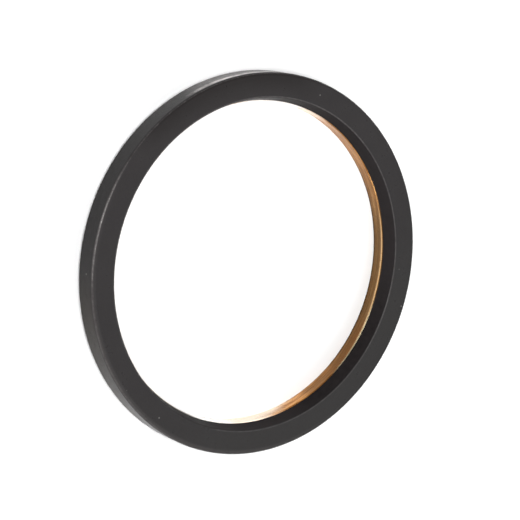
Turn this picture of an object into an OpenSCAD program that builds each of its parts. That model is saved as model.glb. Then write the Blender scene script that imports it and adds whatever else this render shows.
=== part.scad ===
// Slim oil seal: a black rubber ring moulded round a bronze-coloured metal ring.
// The seal lies flat. Its axis is Z, its rear face is on z = 0 and its front
// face, where the rubber covers the metal, looks up. Lengths are millimetres.

/* [Rubber body] */
// Outside diameter, moulded a little over the 100 mm housing it is pressed into
outer_d = 100.4; // [100:0.1:101]
// Width of the whole seal along its axis
seal_w = 8; // [7:0.5:10]
// Diameter at the mouth of the bore, on the front face
mouth_d = 87.5; // [86.6:0.1:88.4]
// Smallest diameter of the rubber, where the taper meets the metal ring
throat_d = 85.4; // [85.3:0.1:85.7]
// Radius of the front outer edge
front_edge_r = 0.6; // [0.3:0.1:1.2]
// Radius of the edge between the front face and the tapered mouth
mouth_edge_r = 0.3; // [0.1:0.05:0.5]
// Axial length of the lead-in chamfer on the rear outer edge
lead_len = 1.8; // [0.8:0.1:2.4]
// Angle of that chamfer to the axis, in degrees
lead_angle = 29; // [15:1:35]

/* [Metal ring] */
// Bore of the metal ring, for an 85 mm shaft
ring_bore_d = 85; // [84.7:0.1:85.1]
// Wall thickness of the metal ring
ring_wall = 1.2; // [1:0.1:2]
// Length of the metal ring along the axis, from the rear face
ring_len = 4.3; // [3.5:0.1:5.5]
// Radius of the front inner corner of the metal ring
ring_corner_r = 0.7; // [0.5:0.05:0.9]
// Chamfer on the rear inner corner of the metal ring
ring_chamfer = 0.1; // [0.1:0.05:0.5]

/* [Hidden] */
$fn = 180;
arc_fn = 48;

outer_r = outer_d / 2;
mouth_r = mouth_d / 2;
throat_r = throat_d / 2;
bore_r = ring_bore_d / 2;
seat_r = bore_r + ring_wall;
lead_drop = lead_len * tan(lead_angle);

// The rubber ends part of the way round the metal ring's rounded corner, so a
// narrow bright band of the corner stays bare.
bare = throat_r - bore_r;
bare_angle = acos(1 - bare / ring_corner_r);
throat_z = ring_len - ring_corner_r + ring_corner_r * sin(bare_angle);

// Taper of the mouth, and the centre of its rounded edge. The arc overlaps the
// taper by a few microns, so that the two cross cleanly.
mouth_taper = atan((mouth_r - throat_r) / (seal_w - throat_z));
mouth_overlap = 0.004;
mouth_centre = [
    mouth_r + mouth_edge_r / tan((90 + mouth_taper) / 2) - mouth_overlap,
    seal_w - mouth_edge_r
];

rubber_rgb = [0.16, 0.155, 0.155];
bronze_rgb = [0.76, 0.50, 0.28];

// Half section of the metal ring: radius across, height up.
module ring_section() {
    difference() {
        polygon([
            [bore_r + ring_chamfer, 0],
            [seat_r, 0],
            [seat_r, ring_len],
            [bore_r, ring_len],
            [bore_r, ring_chamfer]
        ]);
        difference() {
            translate([bore_r - 1, ring_len - ring_corner_r])
                square([ring_corner_r + 1, ring_corner_r + 1]);
            translate([bore_r + ring_corner_r, ring_len - ring_corner_r])
                circle(r = ring_corner_r, $fn = arc_fn);
        }
    }
}

// Sharp-cornered half section of the rubber. Its taper runs on a little inside
// the metal ring, whose section is then taken away.
module rubber_outline() {
    run_on = 0.3;
    polygon([
        [seat_r, 0],
        [outer_r - lead_drop, 0],
        [outer_r, lead_len],
        [outer_r, seal_w],
        [mouth_r, seal_w],
        [throat_r - run_on * sin(mouth_taper),
         throat_z - run_on * cos(mouth_taper)],
        [bore_r + ring_corner_r, ring_len - ring_corner_r],
        [seat_r, ring_len - ring_corner_r]
    ]);
}

// What the rounded outer edge takes off the sharp corner.
module outer_edge_cut() {
    difference() {
        translate([outer_r - front_edge_r, seal_w - front_edge_r])
            square([front_edge_r + 1, front_edge_r + 1]);
        translate([outer_r - front_edge_r, seal_w - front_edge_r])
            circle(r = front_edge_r, $fn = arc_fn);
    }
}

// What the rounded mouth edge takes off the sharp corner.
module mouth_edge_cut() {
    difference() {
        polygon([
            mouth_centre,
            [mouth_centre[0], seal_w + 1],
            [mouth_r - 2, seal_w + 1],
            mouth_centre + 2 * [-cos(mouth_taper), sin(mouth_taper)]
        ]);
        translate(mouth_centre) circle(r = mouth_edge_r, $fn = arc_fn);
    }
}

module rubber_body() {
    color(rubber_rgb)
        rotate_extrude()
            difference() {
                rubber_outline();
                ring_section();
                outer_edge_cut();
                mouth_edge_cut();
            }
}

module metal_ring() {
    color(bronze_rgb)
        rotate_extrude()
            ring_section();
}

rubber_body();
metal_ring();
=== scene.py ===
import math

import bmesh
import bpy
from mathutils import Matrix, Vector, noise


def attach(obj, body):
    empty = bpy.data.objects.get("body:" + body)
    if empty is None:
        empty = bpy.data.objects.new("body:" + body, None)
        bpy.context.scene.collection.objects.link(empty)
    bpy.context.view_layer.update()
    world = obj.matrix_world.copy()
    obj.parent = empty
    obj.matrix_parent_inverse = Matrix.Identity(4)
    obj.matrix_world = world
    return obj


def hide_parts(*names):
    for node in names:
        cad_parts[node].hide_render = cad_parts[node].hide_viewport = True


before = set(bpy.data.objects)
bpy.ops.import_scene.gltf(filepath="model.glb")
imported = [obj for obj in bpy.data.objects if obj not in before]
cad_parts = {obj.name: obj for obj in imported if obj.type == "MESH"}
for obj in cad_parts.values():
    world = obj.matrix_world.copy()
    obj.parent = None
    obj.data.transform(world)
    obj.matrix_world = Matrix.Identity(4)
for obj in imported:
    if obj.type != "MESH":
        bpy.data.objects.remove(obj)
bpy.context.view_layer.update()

MM = 0.001
SEGMENTS = 720


# ---------------------------------------------------------------- geometry

def line(a, b, count):
    """Points from a to b, without b."""
    return [(a[0] + (b[0] - a[0]) * k / count, a[1] + (b[1] - a[1]) * k / count)
            for k in range(count)]


def arc(centre, radius, start, end, count):
    """Points on an arc in the section plane, angles in degrees, without the last."""
    out = []
    for k in range(count):
        a = math.radians(start + (end - start) * k / count)
        out.append((centre[0] + radius * math.cos(a), centre[1] + radius * math.sin(a)))
    return out


def run(a, b, count, lead=0.06):
    """A straight run with a support ring close to each end."""
    length = math.dist(a, b)
    s = min(lead / length, 0.2)
    p = (a[0] + (b[0] - a[0]) * s, a[1] + (b[1] - a[1]) * s)
    q = (b[0] + (a[0] - b[0]) * s, b[1] + (a[1] - b[1]) * s)
    return [a] + line(p, q, count) + [q]


def lathe(name, section, nudge, finish):
    """Turns a closed section (radius, height in mm) about Z. nudge gives the
    small moulding or turning error of a point, in mm along radius and height,
    and finish gives the material index of a face from its middle."""
    bm = bmesh.new()
    rings = []
    for r, z in section:
        ring = []
        for j in range(SEGMENTS):
            a = 2 * math.pi * j / SEGMENTS
            dr, dz = nudge(r, z, a)
            rr, zz = r + dr, z + dz
            ring.append(bm.verts.new((rr * math.cos(a) * MM, rr * math.sin(a) * MM, zz * MM)))
        rings.append(ring)
    for i, ring in enumerate(rings):
        above = rings[(i + 1) % len(rings)]
        (r0, z0), (r1, z1) = section[i], section[(i + 1) % len(section)]
        index = finish((r0 + r1) / 2, (z0 + z1) / 2)
        for j in range(SEGMENTS):
            k = (j + 1) % SEGMENTS
            face = bm.faces.new((ring[j], ring[k], above[k], above[j]))
            face.smooth = True
            face.material_index = index
    mesh = bpy.data.meshes.new(name)
    bm.to_mesh(mesh)
    bm.free()
    mesh.set_sharp_from_angle(angle=math.radians(26))
    obj = bpy.data.objects.new(name, mesh)
    bpy.context.scene.collection.objects.link(obj)
    return obj


def wave(a, k, seed):
    """Seamless noise round the ring, about -1 to 1, k waves a turn."""
    return noise.noise(Vector((math.cos(a) * k / 6.28, math.sin(a) * k / 6.28, seed)))


# Section of the rubber, counter-clockwise from its rear inner corner.
OUT_R, WIDTH = 50.2, 8.0
SEAT_R, BORE_R, RING_LEN = 43.7, 42.5, 4.3
EDGE_R, CORNER_R = 0.6, 0.7
THROAT = (42.7, 4.0899)
MOUTH_C, MOUTH_R = (43.9763, 7.7), 0.3
TAPER = math.degrees(math.atan2(43.75 - 42.7, WIDTH - 4.09))
MOUTH_END = (MOUTH_C[0] - MOUTH_R * math.cos(math.radians(TAPER)),
             MOUTH_C[1] + MOUTH_R * math.sin(math.radians(TAPER)))
SHOULDER = (BORE_R + CORNER_R, RING_LEN - CORNER_R)
BARE = math.degrees(math.acos(1 - (THROAT[0] - BORE_R) / CORNER_R))
THROAT = (SHOULDER[0] - CORNER_R * math.cos(math.radians(BARE)),
          SHOULDER[1] + CORNER_R * math.sin(math.radians(BARE)))

rubber_section = (
    run((SEAT_R, 0), (49.202, 0), 8)
    + run((49.202, 0), (OUT_R, 1.8), 4)
    + run((OUT_R, 1.8), (OUT_R, WIDTH - EDGE_R), 9)
    + arc((OUT_R - EDGE_R, WIDTH - EDGE_R), EDGE_R, 0, 90, 12)
    + run((OUT_R - EDGE_R, WIDTH), (MOUTH_C[0], WIDTH), 10)
    + arc(MOUTH_C, MOUTH_R, 90, 180 - TAPER, 8)
    + run(MOUTH_END, THROAT, 6)
    + arc(SHOULDER, CORNER_R, 180 - BARE, 90, 5)
    + line((SHOULDER[0], RING_LEN), (SEAT_R, RING_LEN), 1)
    + line((SEAT_R, RING_LEN), (SEAT_R, 0), 4)
)

metal_section = (
    line((BORE_R + 0.1, 0), (SEAT_R, 0), 3)
    + line((SEAT_R, 0), (SEAT_R, RING_LEN), 4)
    + line((SEAT_R, RING_LEN), (SHOULDER[0], RING_LEN), 1)
    + arc(SHOULDER, CORNER_R, 90, 180 - BARE, 5)
    + arc(SHOULDER, CORNER_R, 180 - BARE, 180, 10)
    + run((BORE_R, SHOULDER[1]), (BORE_R, 0.1), 8)
    + line((BORE_R, 0.1), (BORE_R + 0.1, 0), 2)
)


def rubber_nudge(r, z, a):
    """Inward only: the front outer edge is a little uneven, the wall and the
    front face a little wavy, as moulded rubber is."""
    dr = dz = 0.0
    if z > 1.7 and r > 49.0:
        near = max(0.0, 1 - math.dist((r, z), (OUT_R, WIDTH)) / 1.3)
        dr -= 0.030 * near * max(0.0, 0.5 + 0.5 * wave(a, 34, 3.1))
        dz -= 0.018 * near * max(0.0, 0.5 + 0.5 * wave(a, 60, 5.5))
    if r > 50.1 and 1.9 < z < 7.3:
        dr -= 0.012 * (0.5 + 0.5 * wave(a, 22, 1.0 + z * 0.15))
    if z > 7.99 and r < 49.6:
        dz -= 0.010 * (0.5 + 0.5 * wave(a, 16, 12.0 + r * 0.12))
    return dr, dz


def rubber_finish(r, z):
    """1 on the tapered mouth, 0 elsewhere."""
    slope = (MOUTH_END[0] - THROAT[0]) / (MOUTH_END[1] - THROAT[1])
    return 1 if abs(THROAT[0] + (z - THROAT[1]) * slope - r) < 0.02 else 0


def metal_nudge(r, z, a):
    return 0.0, 0.0


def metal_finish(r, z):
    return 0


rubber = lathe("rubber_moulding", rubber_section, rubber_nudge, rubber_finish)
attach(rubber, "root")
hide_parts("rubber_body")

metal = lathe("bronze_sleeve", metal_section, metal_nudge, metal_finish)
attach(metal, "root")
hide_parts("metal_ring")


# ---------------------------------------------------------------- materials

class Nodes:
    """Small helper for building a node material."""

    def __init__(self, name):
        self.mat = bpy.data.materials.new(name)
        self.mat.use_nodes = True
        self.tree = self.mat.node_tree
        self.tree.nodes.clear()
        self.out = self.tree.nodes.new("ShaderNodeOutputMaterial")
        self.bsdf = self.tree.nodes.new("ShaderNodeBsdfPrincipled")
        self.link(self.bsdf.outputs[0], self.out.inputs["Surface"])

    def link(self, a, b):
        self.tree.links.new(a, b)

    def put(self, socket, value):
        if isinstance(value, bpy.types.NodeSocket):
            self.link(value, socket)
        else:
            socket.default_value = value

    def math(self, op, a, b=0.0, c=0.0, clamp=False):
        n = self.tree.nodes.new("ShaderNodeMath")
        n.operation, n.use_clamp = op, clamp
        for s, v in zip(n.inputs, (a, b, c)):
            self.put(s, v)
        return n.outputs[0]

    def vmath(self, op, a, b=(0, 0, 0), out=0):
        n = self.tree.nodes.new("ShaderNodeVectorMath")
        n.operation = op
        self.put(n.inputs[0], a)
        self.put(n.inputs[1], b)
        return n.outputs[out]

    def scale(self, a, k):
        n = self.tree.nodes.new("ShaderNodeVectorMath")
        n.operation = "SCALE"
        self.put(n.inputs[0], a)
        n.inputs["Scale"].default_value = k
        return n.outputs[0]

    def combine(self, x, y, z):
        n = self.tree.nodes.new("ShaderNodeCombineXYZ")
        for s, v in zip(n.inputs, (x, y, z)):
            self.put(s, v)
        return n.outputs[0]

    def noise(self, vector, scale, detail=2.0, rough=0.5, distortion=0.0):
        n = self.tree.nodes.new("ShaderNodeTexNoise")
        self.put(n.inputs["Vector"], vector)
        n.inputs["Scale"].default_value = scale
        n.inputs["Detail"].default_value = detail
        n.inputs["Roughness"].default_value = rough
        n.inputs["Distortion"].default_value = distortion
        return n.outputs[0]

    def cells(self, vector, scale):
        n = self.tree.nodes.new("ShaderNodeTexVoronoi")
        self.put(n.inputs["Vector"], vector)
        n.inputs["Scale"].default_value = scale
        return n.outputs["Distance"], n.outputs["Color"]

    def ramp(self, value, lo, hi, a=0.0, b=1.0, smooth=False):
        n = self.tree.nodes.new("ShaderNodeMapRange")
        n.interpolation_type = "SMOOTHSTEP" if smooth else "LINEAR"
        n.clamp = True
        self.put(n.inputs["Value"], value)
        n.inputs["From Min"].default_value = lo
        n.inputs["From Max"].default_value = hi
        n.inputs["To Min"].default_value = a
        n.inputs["To Max"].default_value = b
        return n.outputs["Result"]

    def mix(self, factor, a, b):
        n = self.tree.nodes.new("ShaderNodeMix")
        n.data_type = "RGBA"
        self.put(n.inputs["Factor"], factor)
        self.put(n.inputs[6], a)
        self.put(n.inputs[7], b)
        return n.outputs[2]

    def bump(self, height, distance, strength=1.0, normal=None):
        n = self.tree.nodes.new("ShaderNodeBump")
        self.put(n.inputs["Height"], height)
        n.inputs["Distance"].default_value = distance
        n.inputs["Strength"].default_value = strength
        if normal is not None:
            self.put(n.inputs["Normal"], normal)
        return n.outputs[0]

    def millimetres(self):
        n = self.tree.nodes.new("ShaderNodeTexCoord")
        p = self.scale(n.outputs["Object"], 1000.0)
        s = self.tree.nodes.new("ShaderNodeSeparateXYZ")
        self.link(p, s.inputs[0])
        flat = self.combine(s.outputs[0], s.outputs[1], 0.0)
        radius = self.vmath("LENGTH", flat, out="Value")
        return p, self.vmath("NORMALIZE", flat), radius, s.outputs[2]


# Places of single specks of dust on the rubber, in mm.
SPECKS = ((49.1, 0.7, 8.0), (-48.1, -14.4, 5.25), (-16.7, -44.4, 8.0), (1.9, 46.9, 8.0))


def rubber_material():
    m = Nodes("black moulded rubber")
    p, round_, radius, height = m.millimetres()
    cloud = m.noise(p, 0.07, 3.0, 0.55)
    patch = m.noise(p, 0.55, 3.0, 0.6)
    grain = m.noise(p, 3.2, 3.0, 0.65)
    fine = m.noise(p, 9.0, 2.0, 0.6)
    base = m.mix(m.ramp(cloud, 0.3, 0.7), (0.0158, 0.0136, 0.0143, 1), (0.0190, 0.0165, 0.0172, 1))
    cool = m.vmath("DOT_PRODUCT", round_, (0.77, -0.64, 0.0), out="Value")
    cool = m.math("ADD", cool, m.ramp(cloud, 0.3, 0.7, -0.3, 0.3))
    base = m.mix(m.ramp(cool, 0.0, 0.9, 0.0, 0.6), base, (0.0166, 0.0162, 0.0154, 1))
    base = m.mix(m.ramp(grain, 0.35, 0.75, 0.0, 0.45), base, (0.0250, 0.0225, 0.0228, 1))
    # The outside wall is painted a little blacker, as painted shade.
    outside = m.math("MULTIPLY", m.ramp(radius, 49.90, 50.10), m.ramp(height, 7.70, 7.35, smooth=True))
    base = m.mix(m.math("MULTIPLY", outside, 0.85), base, (0.0026, 0.0017, 0.0018, 1))
    # Painted highlight: the outside wall towards -X -Y is painted paler brown.
    low = m.vmath("DOT_PRODUCT", round_, (-0.643, -0.766, 0.0), out="Value")
    base = m.mix(m.math("MULTIPLY", outside, m.ramp(low, 0.80, 0.95, 0.0, 0.8, smooth=True)), base, (0.0098, 0.0064, 0.0038, 1))
    # The face is a little browner and darker towards its outer edge at one place, and painted paler along that edge
    # towards -Y as a painted soft highlight.
    front = m.math("MULTIPLY", m.ramp(height, 7.90, 7.97), m.ramp(radius, 44.3, 48.6))
    dusk = m.ramp(m.vmath("DOT_PRODUCT", round_, (-0.545, 0.839, 0.0), out="Value"), 0.78, 0.95, 0.0, 0.70, smooth=True)
    base = m.mix(m.math("MULTIPLY", front, dusk), base, (0.0066, 0.0046, 0.0042, 1))
    face_edge_glow = m.math("MULTIPLY", m.math("MULTIPLY", m.ramp(height, 7.90, 7.97), m.ramp(radius, 48.7, 49.35, smooth=True)), m.ramp(patch, 0.30, 0.65, 0.6, 1.0))
    face_edge_glow = m.math("MULTIPLY", face_edge_glow, m.ramp(m.vmath("DOT_PRODUCT", round_, (-0.342, -0.940, 0.0), out="Value"), 0.1, 0.95, 0.0, 0.6))
    base = m.mix(face_edge_glow, base, (0.046, 0.042, 0.041, 1))
    # The front outer edge is painted paler where the face rolls over, most of all at -X and towards -X -Y, as a painted
    # highlight, with a thin broken painted highlight line along it at -X.
    roll = m.math("SUBTRACT", height, radius)
    glow = m.math("MULTIPLY", m.ramp(roll, -42.84, -42.12, smooth=True), m.ramp(roll, -41.40, -41.96, smooth=True))
    left = m.vmath("DOT_PRODUCT", round_, (-0.9976, -0.070, 0.0), out="Value")
    glow_strength = m.math("MAXIMUM", m.ramp(left, 0.895, 0.998, 0.0, 0.66, smooth=True), m.ramp(low, 0.80, 0.93, 0.0, 0.5, smooth=True))
    glow_strength = m.math("MULTIPLY", m.math("MAXIMUM", glow_strength, 0.10), m.ramp(patch, 0.30, 0.65, 0.65, 1.0))
    base = m.mix(m.math("MULTIPLY", glow, glow_strength), base, (0.088, 0.082, 0.081, 1))
    line_ = m.math("MULTIPLY", m.ramp(roll, -42.36, -42.08, smooth=True), m.ramp(roll, -41.76, -41.94, smooth=True))
    nicks = m.noise(p, 1.1, 4.0, 0.75)
    dots = m.ramp(m.noise(p, 2.4, 3.0, 0.7), 0.46, 0.54, 0.15, 1.0)
    broken = m.math("MULTIPLY", dots, m.math("ADD", m.ramp(nicks, 0.40, 0.58), m.ramp(cloud, 0.35, 0.65, -0.15, 0.15), clamp=True))
    line_highlight_strength = m.math("MAXIMUM", m.ramp(left, 0.955, 0.9985, 0.10, 0.48, smooth=True), m.ramp(left, 0.990, 0.9985, 0.0, 0.85, smooth=True))
    line_ = m.math("MULTIPLY", m.math("MULTIPLY", line_, broken), line_highlight_strength)
    base = m.mix(m.math("MULTIPLY", line_, 0.9), base, (0.330, 0.312, 0.303, 1))
    # The outside towards +Y is painted paler as painted light, mottled, and brightest along its front edge as a painted
    # highlight.
    far = m.vmath("DOT_PRODUCT", round_, (-0.375, 0.927, 0.0), out="Value")
    far = m.ramp(m.math("ADD", far, m.ramp(m.noise(p, 0.35, 4.0, 0.7), 0.3, 0.7, -0.02, 0.02)), 0.910, 0.976, smooth=True)
    mottle = m.ramp(m.noise(p, 1.2, 5.0, 0.8), 0.38, 0.62, 0.15, 1.0)
    drawn = m.noise(m.vmath("ADD", m.scale(round_, 9.0), m.combine(0.0, 0.0, m.math("MULTIPLY", height, 1.1))), 1.0, 3.0, 0.6)
    mottle = m.math("MULTIPLY", mottle, m.ramp(drawn, 0.38, 0.58, 0.45, 1.0))
    painted_lit_wall = m.math("MULTIPLY", far, m.math("MULTIPLY", m.ramp(height, 7.50, 6.90, smooth=True), m.ramp(radius, 49.25, 49.55)))
    painted_lit_wall = m.math("MULTIPLY", painted_lit_wall, m.math("MULTIPLY", mottle, m.ramp(height, 3.5, 7.3, 0.60, 1.0)))
    base = m.mix(m.math("MULTIPLY", painted_lit_wall, 0.9), base, (0.280, 0.256, 0.252, 1))
    rim_highlight = m.math("MULTIPLY", m.ramp(height, 5.20, 6.20, smooth=True), m.ramp(height, 7.30, 6.80, smooth=True))
    rim_highlight = m.math("MULTIPLY", m.math("MULTIPLY", rim_highlight, far), m.math("MULTIPLY", m.ramp(m.noise(p, 0.6, 3.0, 0.6), 0.32, 0.62, 0.20, 1.0), m.ramp(drawn, 0.36, 0.56, 0.55, 1.0)))
    base = m.mix(m.math("MULTIPLY", rim_highlight, 0.90), base, (0.66, 0.62, 0.61, 1))
    # The edge of the mouth is painted a little paler as a thin painted highlight.
    mouth_edge_highlight = m.math("MULTIPLY", m.math("MULTIPLY", m.ramp(radius, 43.78, 43.90), m.ramp(radius, 44.20, 44.06)), m.ramp(height, 6.0, 7.0))
    mouth_edge_highlight = m.math("MULTIPLY", mouth_edge_highlight, m.ramp(m.noise(p, 0.9, 3.0, 0.6), 0.35, 0.65, 0.45, 1.0))
    mouth_edge_highlight = m.math("MULTIPLY", mouth_edge_highlight, m.ramp(m.vmath("DOT_PRODUCT", round_, (0.5, 0.866, 0.0), out="Value"), -0.3, 0.8, 0.55, 1.0))
    mouth_edge_highlight = m.math("MULTIPLY", mouth_edge_highlight, m.ramp(m.vmath("DOT_PRODUCT", round_, (-0.375, -0.927, 0.0), out="Value"), 0.93, 0.905, 0.15, 1.0))
    base = m.mix(m.math("MULTIPLY", mouth_edge_highlight, 0.85), base, (0.076, 0.072, 0.071, 1))
    # A few specks of pale dust.
    d, c = m.cells(p, 0.55)
    pick = m.ramp(m.math("FRACT", m.math("MULTIPLY", c, 7.31)), 0.975, 0.98)
    speck = m.math("MULTIPLY", m.ramp(d, 0.10, 0.06), pick)
    for spot in SPECKS:
        near = m.vmath("DISTANCE", p, spot, out="Value")
        speck = m.math("MAXIMUM", speck, m.ramp(near, 0.24, 0.12))
    base = m.mix(m.math("MULTIPLY", speck, 0.6), base, (0.22, 0.215, 0.205, 1))
    m.put(m.bsdf.inputs["Base Color"], base)
    rough = m.math("ADD", m.ramp(patch, 0.3, 0.7, 0.28, 0.34), m.ramp(grain, 0.3, 0.7, -0.025, 0.025))
    rough = m.math("ADD", rough, m.math("MULTIPLY", painted_lit_wall, 0.1))
    edge = m.math("MULTIPLY", m.ramp(roll, -42.70, -42.35, smooth=True), m.ramp(roll, -41.30, -41.60, smooth=True))
    dull = m.ramp(m.vmath("DOT_PRODUCT", round_, (-0.500, 0.866, 0.0), out="Value"), 0.75, 0.92, 0.0, 0.35, smooth=True)
    rough = m.math("ADD", rough, m.math("MULTIPLY", edge, dull))
    m.put(m.bsdf.inputs["Roughness"], rough)
    m.bsdf.inputs["Specular IOR Level"].default_value = 0.14
    n = m.bump(patch, 0.00003)
    n = m.bump(grain, 0.000012, normal=n)
    n = m.bump(fine, 0.000004, normal=n)
    n = m.bump(m.math("MULTIPLY", nicks, edge), 0.00004, normal=n)
    m.put(m.bsdf.inputs["Normal"], n)
    return m.mat


def mouth_material():
    """The tapered mouth comes off a polished core, so it is plainer and does not mirror as much. Its colour is painted
    paler at two places round the ring, as painted light."""
    m = Nodes("black rubber mouth")
    p, round_, radius, height = m.millimetres()
    patch = m.noise(p, 0.55, 3.0, 0.6)
    grain = m.noise(p, 4.5, 2.0, 0.6)
    base = m.mix(m.ramp(patch, 0.3, 0.7), (0.0118, 0.0101, 0.0104, 1), (0.0155, 0.0134, 0.0137, 1))
    # Painted light: the taper is painted paler towards +X +Y and towards -Y.
    far = m.vmath("DOT_PRODUCT", round_, (0.82, 0.57, 0.0), out="Value")
    base = m.mix(m.ramp(far, 0.70, 0.98, 0.0, 0.5, smooth=True), base, (0.0230, 0.0205, 0.0210, 1))
    near = m.vmath("DOT_PRODUCT", round_, (0.309, -0.951, 0.0), out="Value")
    base = m.mix(m.ramp(near, 0.90, 0.985, 0.0, 0.8), base, (0.0215, 0.0190, 0.0195, 1))
    m.put(m.bsdf.inputs["Base Color"], base)
    dull = m.ramp(m.vmath("DOT_PRODUCT", round_, (-0.423, -0.906, 0.0), out="Value"), 0.91, 0.99, 0.0, 0.16, smooth=True)
    m.put(m.bsdf.inputs["Roughness"], m.math("ADD", m.ramp(patch, 0.3, 0.7, 0.30, 0.37), dull))
    m.bsdf.inputs["Specular IOR Level"].default_value = 0.01
    m.put(m.bsdf.inputs["Normal"], m.bump(grain, 0.000006, normal=m.bump(patch, 0.00002)))
    return m.mat


def metal_material():
    m = Nodes("turned bronze")
    p, round_, radius, height = m.millimetres()
    along = m.math("ADD", height, m.math("MULTIPLY", radius, 0.7))

    def turned(k, f, detail, rough):
        """Noise drawn out round the ring: k changes a radius, f changes a mm along."""
        v = m.vmath("ADD", m.scale(round_, k), m.combine(0.0, 0.0, m.math("MULTIPLY", along, f)))
        return m.noise(v, 1.0, detail, rough)

    bands = turned(1.6, 1.15, 2.0, 0.5)
    streaks = turned(4.5, 3.0, 2.0, 0.55)
    lines = turned(2.2, 9.0, 3.0, 0.65)
    cloud = m.noise(p, 0.22, 3.0, 0.6)
    spots = m.noise(p, 1.6, 4.0, 0.7)
    base = m.mix(m.ramp(cloud, 0.3, 0.7), (0.56, 0.258, 0.072, 1), (0.68, 0.325, 0.099, 1))
    base = m.mix(m.ramp(bands, 0.42, 0.62, 0.0, 0.65, smooth=True), base, (0.30, 0.125, 0.034, 1))
    base = m.mix(m.ramp(streaks, 0.51, 0.66, 0.0, 0.75), base, (0.86, 0.50, 0.205, 1))
    base = m.mix(m.ramp(streaks, 0.47, 0.36, 0.0, 0.70), base, (0.17, 0.067, 0.018, 1))
    base = m.mix(m.ramp(lines, 0.50, 0.72, 0.0, 0.40), base, (0.80, 0.445, 0.175, 1))
    # The bore is painted with reflections round the ring, darker on its +X side and paler towards -Y and +Y, and the
    # front corner is painted with a highlight.
    across = m.vmath("DOT_PRODUCT", round_, (0.996, 0.087, 0.0), out="Value")
    along_y = m.vmath("DOT_PRODUCT", round_, (0.0, 1.0, 0.0), out="Value")
    uneven = m.ramp(m.noise(p, 0.12, 2.0, 0.5), 0.3, 0.7, -0.08, 0.08)
    drop = m.ramp(along_y, -0.34, 0.05, 0.20, -0.22)
    bore = m.ramp(m.math("SUBTRACT", height, drop), 3.86, 3.66)
    dark_reflection_paint = m.math("MULTIPLY", m.ramp(m.math("ADD", across, uneven), 0.60, 0.91, 0.0, 0.80, smooth=True), bore)
    base = m.mix(dark_reflection_paint, base, (0.086, 0.053, 0.024, 1))
    # Painted shade: the bore is painted darker brown towards +Y, below the front corner.
    base = m.mix(m.math("MULTIPLY", m.ramp(m.math("ADD", along_y, uneven), 0.40, 0.85, 0.0, 0.60), m.math("MULTIPLY", m.ramp(along_y, 0.990, 0.93), m.ramp(height, 3.95, 3.60, 0.3, 1.0))), base, (0.22, 0.097, 0.030, 1))
    # Darker brown low on the bore towards +X -Y.
    low_dark_patch = m.math("MULTIPLY", m.ramp(m.vmath("DOT_PRODUCT", round_, (0.906, -0.423, 0.0), out="Value"), 0.925, 0.990, smooth=True), m.ramp(height, 0.6, 2.2, 0.35, 0.80, smooth=True))
    base = m.mix(low_dark_patch, base, (0.190, 0.080, 0.023, 1))
    # Painted reflection: the bore is painted paler towards -Y and +Y, and near white at -Y, for bright surroundings it
    # mirrors.
    pale = m.math("ADD", m.math("MULTIPLY", uneven, 0.4), m.ramp(height, 0.3, 3.0, 0.09, 0.0))
    base = m.mix(m.ramp(m.math("SUBTRACT", pale, along_y), 0.80, 0.95, 0.0, 0.85, smooth=True), base, (0.96, 0.86, 0.73, 1))
    base = m.mix(m.ramp(along_y, -0.968, -0.988, 0.0, 0.9, smooth=True), base, (0.97, 0.955, 0.94, 1))
    base = m.mix(m.ramp(along_y, 0.968, 0.995, 0.0, 0.75, smooth=True), base, (0.93, 0.80, 0.66, 1))
    # Painted reflection: the bore is painted near white towards +Y, a little past the middle towards -X, as painted
    # glare.
    side = m.vmath("DOT_PRODUCT", round_, (1.0, 0.0, 0.0), out="Value")
    top_glare = m.math("MULTIPLY", m.ramp(side, 0.057, -0.007, smooth=True), m.ramp(m.math("ADD", side, uneven), -0.72, -0.24, smooth=True))
    top_glare = m.math("MULTIPLY", top_glare, m.ramp(along_y, 0.0, 0.2, 0.0, 0.85))
    base = m.mix(top_glare, base, (0.95, 0.92, 0.90, 1))
    # Painted highlight: the front corner is painted pale gold where it faces +X.
    corner_highlight = m.math("MULTIPLY", m.ramp(m.math("SUBTRACT", height, drop), 3.36, 3.70), m.ramp(height, 4.05, 3.93, 0.6, 1.0))
    corner_highlight = m.math("MULTIPLY", corner_highlight, m.ramp(m.vmath("DOT_PRODUCT", round_, (0.996, 0.087, 0.0), out="Value"), 0.82, 0.97, smooth=True))
    base = m.mix(m.math("MULTIPLY", corner_highlight, 0.5), base, (0.84, 0.59, 0.32, 1))
    glint = m.math("MULTIPLY", m.ramp(height, 3.84, 3.94), m.ramp(m.vmath("DOT_PRODUCT", round_, (0.966, -0.259, 0.0), out="Value"), 0.950, 0.988, smooth=True))
    base = m.mix(m.math("MULTIPLY", glint, 0.95), base, (0.99, 0.88, 0.58, 1))
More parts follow.
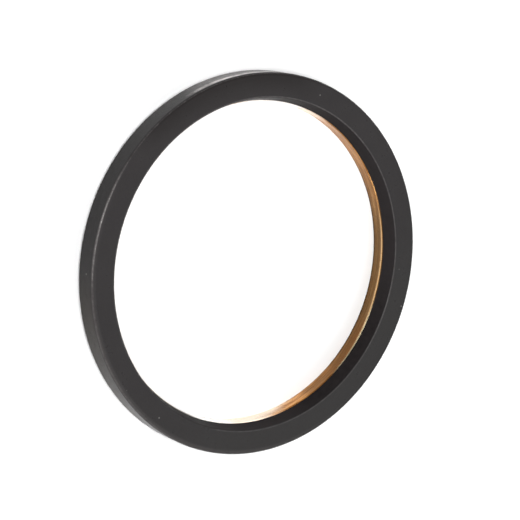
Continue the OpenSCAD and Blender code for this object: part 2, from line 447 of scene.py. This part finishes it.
    # Painted shade at the top of the corner where the rubber ends and on the rear edge, both towards +X; the top of the
    # corner is also darker towards -X -Y.
    shade_and_dark_patch = m.math("MULTIPLY", m.ramp(height, 3.78, 3.90), m.ramp(m.vmath("DOT_PRODUCT", round_, (0.951, 0.309, 0.0), out="Value"), 0.86, 0.965, smooth=True))
    dark_patch_front = m.math("MULTIPLY", m.ramp(height, 3.50, 3.75), m.ramp(m.vmath("DOT_PRODUCT", round_, (-0.375, -0.927, 0.0), out="Value"), 0.93, 0.985, 0.0, 0.9, smooth=True))
    rear_shade = m.math("MULTIPLY", m.ramp(height, 0.75, 0.25), m.ramp(m.vmath("DOT_PRODUCT", round_, (0.978, 0.208, 0.0), out="Value"), 0.60, 0.90, 0.0, 0.9))
    shade_and_dark_patch = m.math("MAXIMUM", shade_and_dark_patch, m.math("MAXIMUM", dark_patch_front, rear_shade))
    base = m.mix(m.math("MULTIPLY", shade_and_dark_patch, 0.94), base, (0.045, 0.025, 0.011, 1))
    base = m.mix(m.ramp(spots, 0.57, 0.68, 0.0, 0.6), base, (0.14, 0.064, 0.022, 1))
    m.put(m.bsdf.inputs["Base Color"], base)
    m.bsdf.inputs["Metallic"].default_value = 1.0
    rough = m.math("ADD", m.ramp(lines, 0.3, 0.7, 0.22, 0.34), m.ramp(spots, 0.5, 0.8, 0.0, 0.12))
    m.put(m.bsdf.inputs["Roughness"], rough)
    n = m.bump(lines, 0.000006)
    n = m.bump(streaks, 0.000010, normal=n)
    n = m.bump(cloud, 0.00003, normal=n)
    m.put(m.bsdf.inputs["Normal"], n)
    return m.mat


rubber.data.materials.append(rubber_material())
rubber.data.materials.append(mouth_material())
metal.data.materials.append(metal_material())


# ---------------------------------------------------------------- studio

def floor():
    bm = bmesh.new()
    bmesh.ops.create_circle(bm, cap_ends=True, segments=128, radius=0.40)
    mesh = bpy.data.meshes.new("studio_floor")
    bm.to_mesh(mesh)
    bm.free()
    obj = bpy.data.objects.new("studio_floor", mesh)
    bpy.context.scene.collection.objects.link(obj)
    mat = bpy.data.materials.new("pale floor")
    mat.use_nodes = True
    b = mat.node_tree.nodes["Principled BSDF"]
    b.inputs["Base Color"].default_value = (0.93, 0.93, 0.93, 1)
    b.inputs["Roughness"].default_value = 0.9
    b.inputs["Specular IOR Level"].default_value = 0.1
    mesh.materials.append(mat)
    return obj


def softbox(name, azimuth, elevation, distance, width, height, radiance, colour=(1, 1, 1)):
    """A rectangular light that faces the seal. Azimuth is measured from +X
    towards +Y and elevation from the floor, both in degrees."""
    light = bpy.data.lights.new(name, "AREA")
    light.shape, light.size, light.size_y = "RECTANGLE", width, height
    light.energy = radiance * math.pi * width * height
    light.color = colour
    obj = bpy.data.objects.new(name, light)
    az, el = math.radians(azimuth), math.radians(elevation)
    d = Vector((math.cos(az) * math.cos(el), math.sin(az) * math.cos(el), math.sin(el)))
    obj.location = d * distance + Vector((0, 0, 0.004))
    obj.rotation_mode = "QUATERNION"
    obj.rotation_quaternion = d.to_track_quat("Z", "Y")
    obj.visible_camera = False
    bpy.context.scene.collection.objects.link(obj)
    return obj


floor()
softbox("left_high_box", 180, 62, 1.0, 0.33, 0.33, 29.0)
softbox("left_low_strip", 190, 7, 1.0, 0.60, 0.22, 6.4)
softbox("near_low_strip", 240, 9, 1.0, 0.33, 0.30, 10.5)
softbox("near_box", 300, 34, 1.0, 0.33, 0.50, 3.8)
softbox("right_low_strip", 330, 9, 1.0, 0.40, 0.30, 6.7)
softbox("far_low_strip", 75, 9, 1.0, 0.75, 0.30, 4.9)
softbox("overhead_box", 0, 57, 1.0, 0.60, 0.60, 2.4)

# The world is as pale as the floor up to the horizon and dim above it.
world = bpy.data.worlds.new("studio")
world.use_nodes = True
tree = world.node_tree
tree.nodes["Background"].inputs[0].default_value = (1, 1, 1, 1)
where = tree.nodes.new("ShaderNodeTexCoord")
parts = tree.nodes.new("ShaderNodeSeparateXYZ")
tree.links.new(where.outputs["Generated"], parts.inputs[0])
level = tree.nodes.new("ShaderNodeMapRange")
level.interpolation_type = "SMOOTHSTEP"
tree.links.new(parts.outputs[2], level.inputs["Value"])
level.inputs["From Min"].default_value = 0.02
level.inputs["From Max"].default_value = 0.16
level.inputs["To Min"].default_value = 1.02
level.inputs["To Max"].default_value = 0.06
tree.links.new(level.outputs["Result"], tree.nodes["Background"].inputs[1])
bpy.context.scene.world = world
bpy.context.scene.view_settings.view_transform = "Standard"

# Camera at the photo's viewing angle, with the photo's roll.
camera = bpy.data.objects.new("camera", bpy.data.cameras.new("camera"))
bpy.context.scene.collection.objects.link(camera)
camera.data.sensor_width = 36.0
camera.data.lens = 134.27
camera.data.clip_start, camera.data.clip_end = 0.01, 20
right = Vector((0.77525, 0.29332, 0.55941)).normalized()
back = right.cross(Vector((-0.23793, 0.95601, -0.17154))).normalized()
up = back.cross(right)
camera.matrix_world = (Matrix.Translation((-0.29440, 0.00137, 0.41461))
                       @ Matrix((right, up, back)).transposed().to_4x4())
bpy.context.scene.camera = camera

bpy.context.view_layer.update()
